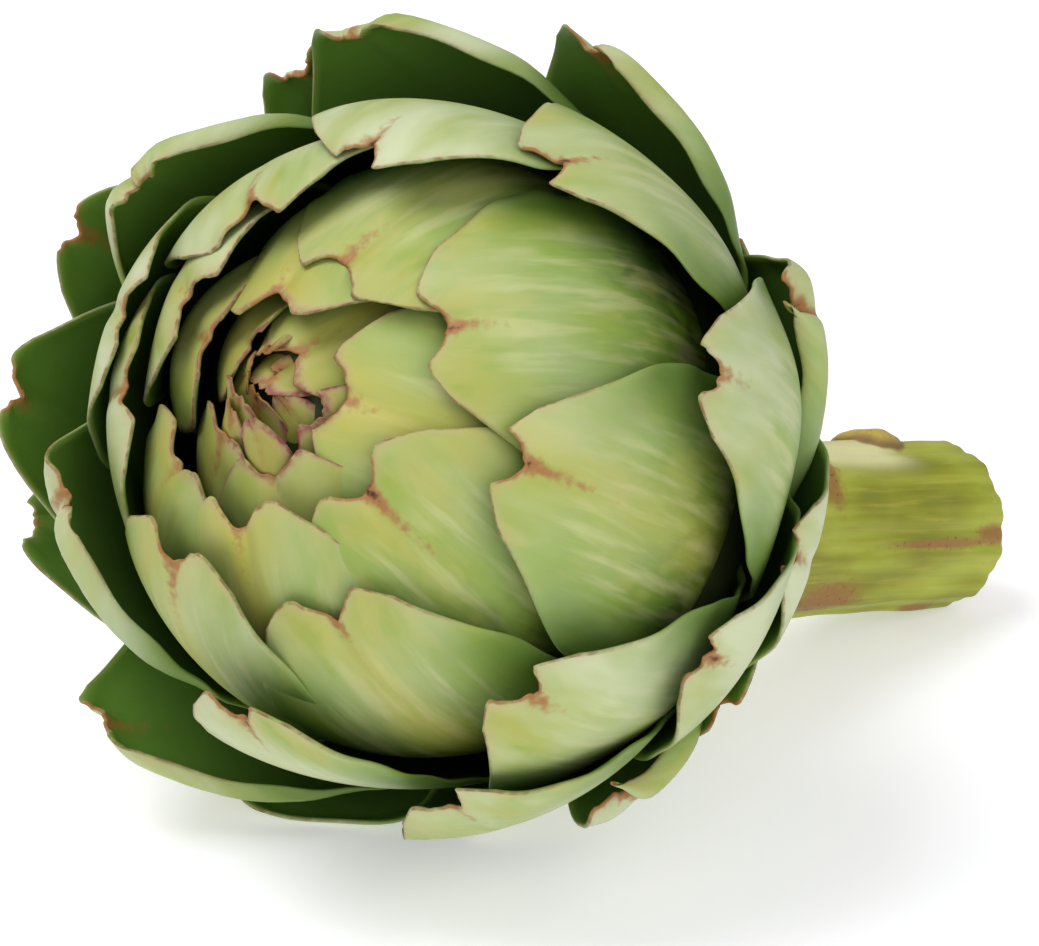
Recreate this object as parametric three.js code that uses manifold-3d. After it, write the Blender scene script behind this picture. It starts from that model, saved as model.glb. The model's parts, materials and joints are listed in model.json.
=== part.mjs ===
// A globe artichoke as picked, lying on its side: a head of overlapping bracts on a cut stem.
// Millimetres, +Z up. The surface it lies on is z = 0; the stem points along +Y.
import * as THREE from 'three';
import { mergeVertices } from 'three/addons/utils/BufferGeometryUtils.js';
import Module from 'manifold-3d';

const wasm = await Module();
wasm.setup();

// ---- Driving dimensions -------------------------------------------------------------------
// The head: a rounded barrel that the bract tips touch, lying with its tip forward and up.
const HEAD_LENGTH = 98;
const HEAD_RADIUS = 59;
const WIDEST_AT = 0.46;            // share of the length, measured from the stem end
const BOXINESS = 2.2;              // exponent of the barrel's outline; 2 would be an ellipse
const HEAD_TILT = 32;              // degrees that the tip is raised
const HEAD_BASE = new THREE.Vector3(5.56, 9.795, 36.6);

// The bracts: placed by the golden angle, numbered from the innermost outwards.
const FIRST_BRACT = -5;
const LAST_BRACT = 55;
const GOLDEN_ANGLE = 137.508;
const FIRST_TURN = 274.4;          // azimuth of bract 0, from the upper side of the head
const BRACT_WIDTH = 50;
const BRACT_LENGTH = 52;
const EDGE_THICKNESS = 0.8;
const MIDDLE_THICKNESS = 1.6;
const ROOT_DIVE = 7;               // how much deeper a root runs than the rest of its blade
const SPLAYED_SIDE = 262;          // azimuth of the side where the bracts stand open
const SPLAY = 15;                  // most that a tip stands off the barrel by the rule
const NOD_REACH = 18;              // length of blade that a nodding tip bends over
const LOBE_SHARE = 0.6;            // where a tip's two lobes reach furthest, as a share across

// The cut stem.
const STEM_RADIUS = 15.3;
const STEM_LENGTH = 82;            // from the head's base to the cut
const STEM_DROP = 16.2;            // degrees that it points down
const STEM_SINK = 1;               // how far its middle line starts below the head's
const STEM_RIBS = 11;
const RIB_HEIGHT = 0.45;
const STEM_SEAT = 5;               // how far it runs into the head
const FIT_GAP = 0.3;
const SHORT_EDGE = 0.05;

// How the head sags on the surface: heights below PRESS_HEIGHT are squeezed upwards.
const PRESS_HEIGHT = 14;
const PRESS_DEPTH = 0.5;

// Distance of a bract's tip from the head's tip, along the barrel: [bract, mm].
const TIP_DISTANCES = [
  [-5, 0.3], [0, 1.3], [3, 2.9], [6, 6], [10, 13], [15, 22], [20, 32], [25, 46],
  [30, 66], [35, 83], [40, 95], [45, 105], [50, 114], [56, 124],
];

// Bracts that grew a little out of the rule: extra turn (degrees), slide towards the stem (mm)
// and, where a bract has its own, how far the tip stands off the barrel and nods back in (mm),
// how fast it widens from the tip, and half its width (mm).
const STRAYS = {
  '-5': { turn: -84, slide: 8 }, '-4': { turn: 18, slide: 4 }, '-3': { turn: -60, slide: 5 },
  '-2': { slide: 7 }, '-1': { turn: -3, slide: -1 }, 0: { turn: -22, slide: 3 },
  1: { turn: 35, slide: 2 }, 2: { turn: 13, slide: -4 }, 3: { turn: -26, slide: 2 },
  4: { turn: 14, slide: 6 }, 5: { turn: -15, stand: 2 }, 6: { turn: 20, slide: 5 },
  7: { turn: -9, slide: -6 }, 8: { turn: 15, slide: 5, stand: 4, nod: 3 },
  9: { turn: 24, slide: 2 }, 10: { turn: 8, slide: -4, stand: 4, nod: 2 },
  11: { turn: 4, slide: 5, stand: 5, nod: 4 }, 12: { turn: 15, slide: -6 },
  13: { turn: 2, stand: 8, nod: 5 }, 14: { turn: 1, stand: 3, nod: 1 }, 15: { slide: -5 },
  16: { turn: 8, slide: 3, stand: 9, nod: 6 }, 17: { turn: 7, slide: -3, stand: 2 },
  18: { turn: 4, slide: -4, stand: 8, nod: 5, widening: 1.1 },
  19: { turn: -7, slide: -1, stand: 6, nod: 2 }, 20: { turn: 6, slide: -5, stand: 2, nod: 1 },
  21: { turn: 2, slide: -4, stand: 11, nod: 6 }, 22: { slide: -1, stand: 3, nod: 2 },
  23: { turn: 8, slide: -6, stand: 8, nod: 3, widening: 1.2 }, 24: { slide: -4, stand: 14 },
  25: { turn: 2, slide: -3, stand: 3, nod: 2 }, 26: { turn: -2, slide: -6, stand: 16 },
  27: { turn: -10, slide: -5, stand: 9, nod: 2, width: 19 },
  28: { turn: 1, slide: -6, stand: 6, nod: 3.5 }, 29: { turn: 1, slide: -8, stand: 20 },
  30: { turn: -3, slide: -3, stand: 7, nod: 4 }, 31: { turn: 2, slide: -4, stand: 16 },
  32: { stand: 18 }, 33: { turn: 3, slide: -7, stand: 7, nod: 4 }, 34: { slide: -19, stand: 22 },
  35: { turn: -8, slide: -11, stand: 8, nod: 4 },
  36: { turn: -2, slide: -6, stand: 12, width: 24 }, 37: { turn: 4, slide: -14, stand: 22 },
  38: { turn: 3, slide: -4, stand: 6, nod: 3 }, 39: { turn: 7, slide: -20, stand: 18 },
  40: { turn: 10, slide: -3, stand: 16.2, nod: 2 }, 41: { turn: 7, slide: -2.5, stand: 4.5 },
  43: { slide: 1, stand: 9, nod: 6 }, 46: { turn: 7, slide: -5, stand: 5, nod: 6 },
  48: { stand: 6.2 }, 49: { stand: -2 }, 54: { slide: 6, stand: -2 },
};

// ---- Small helpers ------------------------------------------------------------------------
const radians = THREE.MathUtils.degToRad;
const mix = THREE.MathUtils.lerp;
const smooth = (from, to, x) => THREE.MathUtils.smoothstep(x, from, to);

// A repeatable draw between 0 and 1 for bract `n`, number `k` of its draws.
function chance(n, k) {
  const wave = Math.sin(n * 12.9898 + k * 78.233) * 43758.5453;
  return wave - Math.floor(wave);
}

// Straight-line reading of a list of [x, y] pairs.
function reading(pairs, x) {
  const next = pairs.findIndex(([px]) => px >= x);
  if (next <= 0) return next === 0 ? pairs[0][1] : pairs.at(-1)[1];
  const [x0, y0] = pairs[next - 1];
  const [x1, y1] = pairs[next];
  return mix(y0, y1, (x - x0) / (x1 - x0));
}

// A closed mesh as a solid, turned right way out if need be.
function solid(geometry) {
  const bare = geometry.clone();
  bare.deleteAttribute('normal');
  bare.deleteAttribute('uv');
  const merged = mergeVertices(bare, 1e-4);
  const triVerts = Uint32Array.from(merged.index.array);
  const numProp = 3;
  const vertProperties = merged.attributes.position.array;
  const made = new wasm.Manifold(new wasm.Mesh({ numProp, vertProperties, triVerts }));
  if (made.volume() > 0) return made;
  return new wasm.Manifold(
    new wasm.Mesh({ numProp, vertProperties, triVerts: triVerts.reverse() }));
}

function geometryOf(manifold) {
  const mesh = manifold.getMesh();
  const geometry = new THREE.BufferGeometry();
  geometry.setAttribute('position', new THREE.BufferAttribute(mesh.vertProperties, 3));
  geometry.setIndex(new THREE.BufferAttribute(mesh.triVerts, 1));
  geometry.computeVertexNormals();
  return geometry;
}

// The surface under the head presses its lowest bracts flat without letting them cross.
function pressed(point) {
  if (point.z >= PRESS_HEIGHT) return point;
  const full = 1 + PRESS_DEPTH / PRESS_HEIGHT;
  const lift = PRESS_DEPTH * ((1 - point.z / PRESS_HEIGHT) / full) ** 2;
  return point.setZ(point.z + lift);
}

// ---- The barrel that the tips touch -------------------------------------------------------
const tilt = radians(HEAD_TILT);
const AXIS = new THREE.Vector3(0, -Math.cos(tilt), Math.sin(tilt));
const SIDE = new THREE.Vector3(1, 0, 0);
const UPPER = new THREE.Vector3(0, Math.sin(tilt), Math.cos(tilt));

// Its outline, as rows of distance from the tip along it, height above the base, and radius.
function barrelOutline(steps = 720) {
  const widest = WIDEST_AT * HEAD_LENGTH;
  const power = 2 / BOXINESS;
  const rows = [];
  for (let i = 0; i <= steps; i += 1) {
    const turn = Math.PI * i / steps;
    const reach = Math.abs(Math.cos(turn)) ** power;
    const height = i < steps / 2 ? widest + (HEAD_LENGTH - widest) * reach : widest * (1 - reach);
    const radius = HEAD_RADIUS * Math.abs(Math.sin(turn)) ** power;
    const last = rows.at(-1);
    const gone = last ? last.gone + Math.hypot(height - last.height, radius - last.radius) : 0;
    rows.push({ gone, height, radius });
  }
  return rows;
}
const OUTLINE = barrelOutline();
const OUTLINE_LENGTH = OUTLINE.at(-1).gone;

// Height and radius at a distance from the tip; past the tip the radius turns negative.
function outlineAt(distance) {
  const gone = Math.min(Math.abs(distance), OUTLINE_LENGTH);
  let low = 0;
  let high = OUTLINE.length - 1;
  while (high - low > 1) {
    const middle = (low + high) >> 1;
    if (OUTLINE[middle].gone > gone) high = middle;
    else low = middle;
  }
  const a = OUTLINE[low];
  const b = OUTLINE[high];
  const share = (gone - a.gone) / (b.gone - a.gone);
  return [mix(a.height, b.height, share), Math.sign(distance) * mix(a.radius, b.radius, share)];
}

// The same with the outline's direction, [height, radius] each.
function barrelAt(distance) {
  const step = 1.5;
  const [height, radius] = outlineAt(distance);
  const [h0, r0] = outlineAt(distance - step);
  const [h1, r1] = outlineAt(distance + step);
  const length = Math.hypot(h1 - h0, r1 - r0);
  return { height, radius, down: [(h1 - h0) / length, (r1 - r0) / length] };
}

// ---- The bracts ---------------------------------------------------------------------------
function bract(n) {
  const stray = STRAYS[n] ?? {};
  const age = Math.max(n, 0);
  const rule = FIRST_TURN - GOLDEN_ANGLE * n;
  const turn = rule + 7 - 12 * Math.cos(radians(rule - 330));
  const side = 0.5 + 0.5 * Math.cos(radians(turn - SPLAYED_SIDE));
  const fading = 1 - 0.75 * smooth(38, 50, n);
  const reach = THREE.MathUtils.clamp((n - 2) / 25, 0, 1);
  const loose = 1.6 * smooth(24, 30, n) * (1 - smooth(42, 47, n));
  const stand = stray.stand ?? 0.8 + loose + SPLAY * reach * side ** 3 * fading;
  const splayed = smooth(10, 16, stand);
  const old = Math.max(0, n - 44) / 12;
  const width = stray.width ?? Math.min(BRACT_WIDTH / 2, 6 + 1.3 * age) * (1 - 0.35 * old);
  const broad = Math.min(10, 2.6 + 0.75 * age);
  const tipWidth = broad - 3 * smooth(20, 26, n) - 2 * smooth(33, 41, n);
  return {
    n,
    turn: radians(turn + (stray.turn ?? 0)),
    tip: reading(TIP_DISTANCES, n) + (stray.slide ?? 0),
    stand,
    nod: stray.nod ?? 0,
    inset: 4 * (1 - smooth(22, 29, n)) * (1 - side),
    slant: 0.13 + 0.42 * (1 - smooth(2, 12, n)),
    liftShare: 0.35 + 0.4 * smooth(8, 22, n),
    width: mix(width, 1.05 * width, splayed),
    tipWidth: mix(tipWidth, 6, splayed),
    widening: stray.widening ?? mix(1.15 - 0.4 * smooth(12, 23, n), 1.1, splayed),
    length: Math.min(BRACT_LENGTH, 12 + 2.9 * age) * (1 - 0.4 * old) * mix(1, 1.2, splayed),
    cup: Math.min(52, 7 + 2.1 * age),
    notch: mix(Math.min(5.2, 1.4 + 0.3 * age), 1.4, splayed),
    shoulder: Math.min(3.5, 1 + 0.2 * age),
    notchShift: 0.24 * chance(n, 1) - 0.12,
    lobeSlope: 1.6 * chance(n, 2) - 0.8,
    curl: (0.9 * chance(n, 3) - 0.5) * (1 - splayed),
    wave: chance(n, 4) - 0.5,
    wavePhase: 6 * chance(n, 5),
  };
}

// A point of the blade: `across` its middle line, `back` from its tip, `lift` off its surface.
function bractPoint(b, across, back, lift) {
  const { height, radius, down } = barrelAt(b.tip + back);
  const raised = b.length * b.liftShare;
  const fade = THREE.MathUtils.clamp(1 - back / raised, 0, 1);
  const dive = ROOT_DIVE * smooth(0.6, 1, back / b.length);
  const nodding = THREE.MathUtils.clamp(1 - back / NOD_REACH, 0, 1);
  const off = b.stand * fade ** 1.8 - b.nod * nodding ** 2 - b.slant * back - b.inset - dive;
  const lean = 1.8 * b.stand * fade ** 0.8 / raised - 2 * b.nod * nodding / NOD_REACH + b.slant;
  const outward = UPPER.clone().multiplyScalar(Math.cos(b.turn))
    .addScaledVector(SIDE, Math.sin(b.turn));
  const round = UPPER.clone().multiplyScalar(-Math.sin(b.turn))
    .addScaledVector(SIDE, Math.cos(b.turn));
  const [downHeight, downRadius] = down;
  const normal = AXIS.clone().multiplyScalar(downRadius).addScaledVector(outward, -downHeight);
  const downward = AXIS.clone().multiplyScalar(downHeight).addScaledVector(outward, downRadius);
  const tilted = normal.clone().addScaledVector(downward, lean).normalize();
  const bend = across / b.cup;
  const face = tilted.clone().multiplyScalar(Math.cos(bend)).addScaledVector(round, Math.sin(bend));
  return HEAD_BASE.clone()
    .addScaledVector(AXIS, height).addScaledVector(outward, radius)
    .addScaledVector(normal, off)
    .addScaledVector(round, b.cup * Math.sin(bend))
    .addScaledVector(tilted, -b.cup * (1 - Math.cos(bend)))
    .addScaledVector(face, lift);
}

// Half the blade's width at a distance from its tip: two lobes that widen to the full width.
function halfWidth(b, back) {
  const straight = b.tipWidth + b.widening * back;
  return straight - 2.5 * Math.log1p(Math.exp((straight - b.width) / 2.5));
}

// The blade is a net of points, alike on its outer and inner face, closed round its edge.
function bractBlade(b) {
  const small = b.n < 6;
  const shares = small ? [-1, -0.6, 0, 0.6, 1] : [-1, -0.62, -0.3, 0, 0.3, 0.62, 1];
  const rows = small ? [0, 0.25, 0.6, 1] : [0, 0.13, 0.42, 1];
  const outer = [];
  const inner = [];
  for (const row of rows) {
    for (const share of shares) {
      const middle = share - b.notchShift * (1 - row);
      const fork = b.notch * Math.max(0, 1 - Math.abs(middle) / LOBE_SHARE) ** 1.2;
      const outside = Math.max(0, Math.abs(share) - LOBE_SHARE) / (1 - LOBE_SHARE);
      const tipShape = fork + b.shoulder * outside ** 2 + b.lobeSlope * share;
      const back = row * b.length + tipShape * (1 - row) ** 3;
      const across = share * halfWidth(b, back);
      const curl = b.curl * Math.max(0, 1 - back / 7) ** 2 * (0.3 + 0.7 * share * share);
      const wave = b.wave * Math.sin(0.16 * across + 0.05 * back + b.wavePhase);
      const edge = Math.abs(share) === 1 || row === 0;
      const thickness = edge ? EDGE_THICKNESS : MIDDLE_THICKNESS;
      outer.push(pressed(bractPoint(b, across, back, curl + wave)));
      inner.push(pressed(bractPoint(b, across, back, curl + wave - thickness)));
    }
  }
  return netSolid(outer, inner, shares.length, rows.length);
}

// Two like nets of points, `columns` by `rows`, joined round their edge.
function netSolid(outer, inner, columns, rows) {
  const points = [...outer, ...inner];
  const count = outer.length;
  const faces = [];
  for (let r = 0; r + 1 < rows; r += 1) {
    for (let c = 0; c + 1 < columns; c += 1) {
      const a = r * columns + c;
      const [b, d, e] = [a + 1, a + columns, a + columns + 1];
      faces.push(a, d, e, a, e, b);
      faces.push(a + count, e + count, d + count, a + count, b + count, e + count);
    }
  }
  const edge = [];
  for (let c = 0; c < columns - 1; c += 1) edge.push(c);
  for (let r = 0; r < rows - 1; r += 1) edge.push(r * columns + columns - 1);
  for (let c = columns - 1; c > 0; c -= 1) edge.push((rows - 1) * columns + c);
  for (let r = rows - 1; r > 0; r -= 1) edge.push(r * columns);
  edge.forEach((a, i) => {
    const b = edge[(i + 1) % edge.length];
    faces.push(a, b, b + count, a, b + count, a + count);
  });
  const geometry = new THREE.BufferGeometry().setFromPoints(points);
  geometry.setIndex(faces);
  return solid(geometry);
}

// The flesh that every bract grows out of: the barrel drawn in, deepest under the open ring.
function headCore(steps = 12, sides = 24) {
  const profile = [];
  for (let i = 0; i <= steps; i += 1) {
    const distance = mix(0.5, OUTLINE_LENGTH - 0.5, i / steps);
    const { height, radius, down } = barrelAt(distance);
    const depth = 4.5 + 3 * smooth(3, 20, distance) - 2.5 * smooth(65, 95, distance);
    const drawnIn = new THREE.Vector2(radius + down[0] * depth, height - down[1] * depth);
    if (i === 0 || i === steps) drawnIn.x = 0;
    profile.push(drawnIn);
  }
  const lathe = new THREE.LatheGeometry(profile, sides);
  lathe.applyMatrix4(new THREE.Matrix4().makeBasis(SIDE, AXIS, UPPER.clone().negate()));
  lathe.translate(HEAD_BASE.x, HEAD_BASE.y, HEAD_BASE.z);
  const place = lathe.attributes.position;
  const point = new THREE.Vector3();
  for (let i = 0; i < place.count; i += 1) {
    pressed(point.fromBufferAttribute(place, i));
    place.setXYZ(i, point.x, point.y, point.z);
  }
  return solid(lathe);
}

// ---- The stem -----------------------------------------------------------------------------
// A ribbed rod with a little swelling under the head and an uneven, slightly worn cut.
function stemSolid(extra = 0, sides = 44) {
  const stations = [-STEM_SEAT - extra, 4, 14, 34, 58, STEM_LENGTH - 2, STEM_LENGTH + extra];
  const drop = radians(STEM_DROP);
  const along = new THREE.Vector3(0, Math.cos(drop), -Math.sin(drop));
  const over = new THREE.Vector3(0, Math.sin(drop), Math.cos(drop));
  const start = HEAD_BASE.clone().addScaledVector(over, -STEM_SINK);
  const points = [];
  stations.forEach((station, s) => {
    const worn = s === stations.length - 1 ? 1.4 : 0;
    const flare = 1.2 * Math.exp(-Math.max(0, station) / 9);
    for (let k = 0; k < sides; k += 1) {
      const turn = 2 * Math.PI * k / sides;
      const rib = RIB_HEIGHT * Math.cos(STEM_RIBS * turn + 0.012 * station);
      const radius = STEM_RADIUS + flare + rib + 0.4 * Math.sin(2 * turn) - worn + extra;
      points.push(start.clone().addScaledVector(along, station)
        .addScaledVector(over, radius * Math.cos(turn))
        .addScaledVector(SIDE, radius * Math.sin(turn)));
    }
  });
  const faces = [];
  for (let s = 0; s + 1 < stations.length; s += 1) {
    for (let k = 0; k < sides; k += 1) {
      const a = s * sides + k;
      const b = s * sides + (k + 1) % sides;
      faces.push(a, b, b + sides, a, b + sides, a + sides);
    }
  }
  for (const [s, station] of [[0, stations[0]], [stations.length - 1, stations.at(-1)]]) {
    points.push(start.clone().addScaledVector(along, station));
    const centre = points.length - 1;
    for (let k = 0; k < sides; k += 1) {
      const a = s * sides + k;
      const b = s * sides + (k + 1) % sides;
      faces.push(...(s === 0 ? [centre, b, a] : [centre, a, b]));
    }
  }
  const geometry = new THREE.BufferGeometry().setFromPoints(points);
  geometry.setIndex(faces);
  return solid(geometry);
}

// The scar of a leaf that was cut away: a low oval swelling on the upper side of the stem.
const SCAR_AT = 60;                // from the head's base to its middle
const SCAR_LENGTH = 16;
const SCAR_WIDTH = 11;
const SCAR_RISE = 1.7;
function leafScar() {
  const depth = 3;
  const swelling = new THREE.SphereGeometry(1, 14, 8);
  swelling.scale(SCAR_WIDTH / 2, SCAR_LENGTH / 2, depth);
  swelling.translate(0, SCAR_AT, STEM_RADIUS - STEM_SINK + SCAR_RISE - depth);
  swelling.rotateX(radians(-STEM_DROP));
  swelling.translate(HEAD_BASE.x, HEAD_BASE.y, HEAD_BASE.z);
  return solid(swelling);
}

// ---- Joining ------------------------------------------------------------------------------
// Everything below the surface is cut away, which leaves the small flats that it rests on.
function groundBlock() {
  const block = new THREE.BoxGeometry(400, 400, 40);
  block.translate(0, 0, -20);
  return solid(block);
}

// The largest body of a solid: loose scraps go, and closed pockets between bracts fill up.
// Edges too short to matter, left where two blades cross, are drawn together.
function mainBody(manifold) {
  const bodies = manifold.decompose();
  const main = bodies.reduce((best, body) => (body.volume() > best.volume() ? body : best));
  return main.asOriginal().simplify(SHORT_EDGE);
}

function headSolid() {
  const blades = [];
  for (let n = FIRST_BRACT; n <= LAST_BRACT; n += 1) blades.push(bractBlade(bract(n)));
  const grown = wasm.Manifold.union([headCore(), ...blades]);
  return mainBody(grown.subtract(stemSolid(FIT_GAP)).subtract(groundBlock()));
}

function named(name, manifold, colour, roughness) {
  const material = new THREE.MeshStandardMaterial({ color: colour, roughness, metalness: 0 });
  const mesh = new THREE.Mesh(geometryOf(manifold), material);
  mesh.name = name;
  return mesh;
}

const artichoke = new THREE.Group();
artichoke.add(named('bract_head', headSolid(), 0x8fa75e, 0.55));
artichoke.add(named('stem', stemSolid().add(leafScar()).subtract(groundBlock()), 0x9aa845, 0.6));

export default artichoke;
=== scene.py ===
# %% [markdown]
# # A globe artichoke, lying on its side
#
# An artichoke is a flower bud: a short thick stem carries a ball of bracts, the tough green
# scales that are pulled off one by one. This lesson grows the ball from the rule that the plant
# follows, cuts the stem, paints both, and sets them on a pale table.
#
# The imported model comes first. It holds the plain solids that give every piece its place.

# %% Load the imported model
import json
import math
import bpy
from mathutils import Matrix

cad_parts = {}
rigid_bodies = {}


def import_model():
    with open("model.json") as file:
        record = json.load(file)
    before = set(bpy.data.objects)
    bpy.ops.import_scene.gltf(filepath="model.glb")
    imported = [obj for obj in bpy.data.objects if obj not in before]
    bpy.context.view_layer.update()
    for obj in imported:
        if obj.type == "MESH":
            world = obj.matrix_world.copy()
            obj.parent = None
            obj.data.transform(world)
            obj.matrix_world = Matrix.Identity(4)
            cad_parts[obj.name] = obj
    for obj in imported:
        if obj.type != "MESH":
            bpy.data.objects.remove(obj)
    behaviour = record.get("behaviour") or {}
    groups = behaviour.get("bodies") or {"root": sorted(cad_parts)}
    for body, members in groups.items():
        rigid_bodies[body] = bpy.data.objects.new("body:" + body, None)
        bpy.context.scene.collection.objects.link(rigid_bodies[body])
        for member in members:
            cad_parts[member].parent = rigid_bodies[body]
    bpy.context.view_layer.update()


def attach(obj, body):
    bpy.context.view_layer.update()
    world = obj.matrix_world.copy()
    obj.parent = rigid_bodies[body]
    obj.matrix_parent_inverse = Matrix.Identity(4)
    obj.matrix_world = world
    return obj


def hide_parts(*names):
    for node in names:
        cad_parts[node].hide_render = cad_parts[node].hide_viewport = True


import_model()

from types import SimpleNamespace

import bpy
import numpy as np
from mathutils import Matrix, Vector

MM = 0.001               # Blender works in metres; the plant's own sizes are in millimetres

# %% [markdown]
# ## The camera
#
# A long lens from some way off keeps the ball from looking swollen in the middle. The camera
# looks down on the artichoke from in front of one cheek, so that the tip of the bud and the
# stem both show.

# %% Camera
IMAGE_WIDTH = 1039       # pixels, the width that the focal length below is given for
FOCAL_PIXELS = 4750
SENSOR = 36.0            # mm
CAMERA_TURN = math.radians(45)
CAMERA_RISE = math.radians(23)
CAMERA_DISTANCE = 0.75   # m
CAMERA_NEAR = 0.01       # m, nearer things are cut off
CAMERA_AIM = Vector((0.01356, -0.02621, 0.0596))


def look_back(turn, rise):
    """The direction from what is looked at towards the viewer."""
    return Vector((math.sin(turn) * math.cos(rise), -math.cos(turn) * math.cos(rise), math.sin(rise)))


def aimed(obj, place, target):
    """Puts a lamp or a camera at a place, turned towards its target, upright."""
    obj.location = place
    obj.rotation_mode = "QUATERNION"
    obj.rotation_quaternion = (Vector(place) - Vector(target)).to_track_quat("Z", "Y")
    bpy.context.scene.collection.objects.link(obj)
    return obj


camera_data = bpy.data.cameras.new("camera")
camera_data.sensor_width = SENSOR
camera_data.sensor_fit = "HORIZONTAL"
camera_data.lens = FOCAL_PIXELS / IMAGE_WIDTH * SENSOR
camera_data.clip_start = CAMERA_NEAR
camera_place = CAMERA_AIM + look_back(CAMERA_TURN, CAMERA_RISE) * CAMERA_DISTANCE
camera = aimed(bpy.data.objects.new("camera", camera_data), camera_place, CAMERA_AIM)
bpy.context.scene.camera = camera
print("lens in mm:", round(camera_data.lens, 1))

# %% [markdown]
# ## One helper for nodes, and colours as a printer writes them
#
# Every material below is a small net of nodes. One function adds a node, sets its sockets and
# settings, and gives back the output that the next node needs. Colours are written as sRGB hex
# values, which Blender wants as linear numbers.

# %% Nodes and colours
MIX_FACTOR, MIX_A, MIX_B, MIX_COLOUR = 0, 6, 7, 2   # the colour sockets of a Mix node


def add(tree, kind, sockets=None, out=0, **settings):
    """Adds a node. `sockets` maps its inputs to values or to outputs of other nodes."""
    node = tree.nodes.new(kind)
    for name, value in settings.items():
        setattr(node, name, value)
    for name, value in (sockets or {}).items():
        if isinstance(value, bpy.types.NodeSocket):
            tree.links.new(value, node.inputs[name])
        else:
            node.inputs[name].default_value = value
    return node.outputs[out] if len(node.outputs) else node


def colour(text):
    """An sRGB hex colour as linear red, green, blue and 1."""
    parts = [int(text[i:i + 2], 16) / 255 for i in (1, 3, 5)]
    return (*(p / 12.92 if p <= 0.04045 else ((p + 0.055) / 1.055) ** 2.4 for p in parts), 1.0)


def new_material(name):
    """An empty node material and its tree."""
    material = bpy.data.materials.new(name)
    material.use_nodes = True
    material.node_tree.nodes.clear()
    return material, material.node_tree


# %% [markdown]
# ## The table and the light
#
# A pale matt table runs out of sight in every direction. Light comes from a wide soft window
# high on the left, with a white card on the right and a white room all round to fill the
# shadows.

# %% Table
TABLE_REACH = 3.0        # m
TABLE_GLOW = 0.36        # keeps the board white where the window misses it


def table_finish():
    """Matt white board: it bounces light back up under the bracts."""
    material, tree = new_material("matt_white_board")
    shader = add(tree, "ShaderNodeBsdfPrincipled", {
        "Base Color": colour("#e9e8ef"), "Roughness": 0.9,
        "Emission Color": colour("#ffffff"), "Emission Strength": TABLE_GLOW,
    })
    add(tree, "ShaderNodeOutputMaterial", {"Surface": shader})
    return material


table_mesh = bpy.data.meshes.new("table")
table_mesh.from_pydata(
    [(x * TABLE_REACH, y * TABLE_REACH, 0) for x, y in ((-1, -1), (1, -1), (1, 1), (-1, 1))],
    [], [(0, 1, 2, 3)])
table_mesh.materials.append(table_finish())
table = bpy.data.objects.new("table", table_mesh)
bpy.context.scene.collection.objects.link(table)

# %% Light
LIT_POINT = (0.0, -0.02, 0.06)
WINDOW = SimpleNamespace(name="window", place=(-0.36, -0.34, 1.05), size=0.75, watts=8.6)
CARD = SimpleNamespace(name="white_card", place=(0.95, -0.35, 0.5), size=0.9, watts=5.4)
ROOM_BRIGHTNESS = 0.47

for lamp in (WINDOW, CARD):
    lamp_data = bpy.data.lights.new(lamp.name, "AREA")
    lamp_data.size = lamp.size
    lamp_data.energy = lamp.watts
    aimed(bpy.data.objects.new(lamp.name, lamp_data), lamp.place, LIT_POINT)

world = bpy.data.worlds.new("room")
world.use_nodes = True
world.node_tree.nodes["Background"].inputs["Color"].default_value = colour("#ffffff")
world.node_tree.nodes["Background"].inputs["Strength"].default_value = ROOM_BRIGHTNESS
bpy.context.scene.world = world
bpy.context.scene.view_settings.view_transform = "Standard"
print("light in watts:", WINDOW.watts, "from the window,", CARD.watts, "from the card")

# %% [markdown]
# ## The barrel under the bracts
#
# The tips of the bracts touch a rounded barrel. It could be a stretched sphere, but a bud is
# squarer than that, so its outline is a superellipse. A bract lies along this outline, so the
# outline is read by distance from the tip of the bud. Past the tip the radius turns negative:
# that is the far side, where the smallest bracts lean over.

# %% Barrel
HEAD_LENGTH = 98.0
HEAD_RADIUS = 59.0
WIDEST_AT = 0.46         # share of the length, from the stem end
BOXINESS = 2.2           # 2 would be an ellipse
HEAD_TILT = 32.0         # degrees that the tip is raised
HEAD_BASE = np.array([5.56, 9.795, 36.6])


def smooth(start, end, x):
    """0 before start, 1 after end, with a soft change between."""
    share = np.clip((x - start) / (end - start), 0, 1)
    return share * share * (3 - 2 * share)


def barrel_outline(steps=720):
    """Distance from the tip, height above the base and radius along the barrel."""
    turn = np.pi * np.arange(steps + 1) / steps
    widest = WIDEST_AT * HEAD_LENGTH
    reach = np.abs(np.cos(turn)) ** (2 / BOXINESS)
    height = np.where(turn < np.pi / 2, widest + (HEAD_LENGTH - widest) * reach, widest * (1 - reach))
    radius = HEAD_RADIUS * np.abs(np.sin(turn)) ** (2 / BOXINESS)
    gone = np.concatenate([[0], np.cumsum(np.hypot(np.diff(height), np.diff(radius)))])
    return gone, height, radius


OUTLINE = barrel_outline()
OUTLINE_LENGTH = OUTLINE[0][-1]
OUTLINE_STEP = 1.5       # mm to either side over which the outline's direction is taken


def barrel_at(distance):
    """Height, radius and the outline's direction (height, radius) at distances from the tip."""
    def read(at):
        gone = np.minimum(np.abs(at), OUTLINE_LENGTH)
        return np.interp(gone, *OUTLINE[:2]), np.sign(at) * np.interp(gone, *OUTLINE[::2])

    height, radius = read(distance)
    above, below = read(distance - OUTLINE_STEP), read(distance + OUTLINE_STEP)
    down = np.array([below[0] - above[0], below[1] - above[1]])
    return height, radius, down / np.hypot(*down)


print("barrel outline in mm:", round(OUTLINE_LENGTH, 1))

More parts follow.
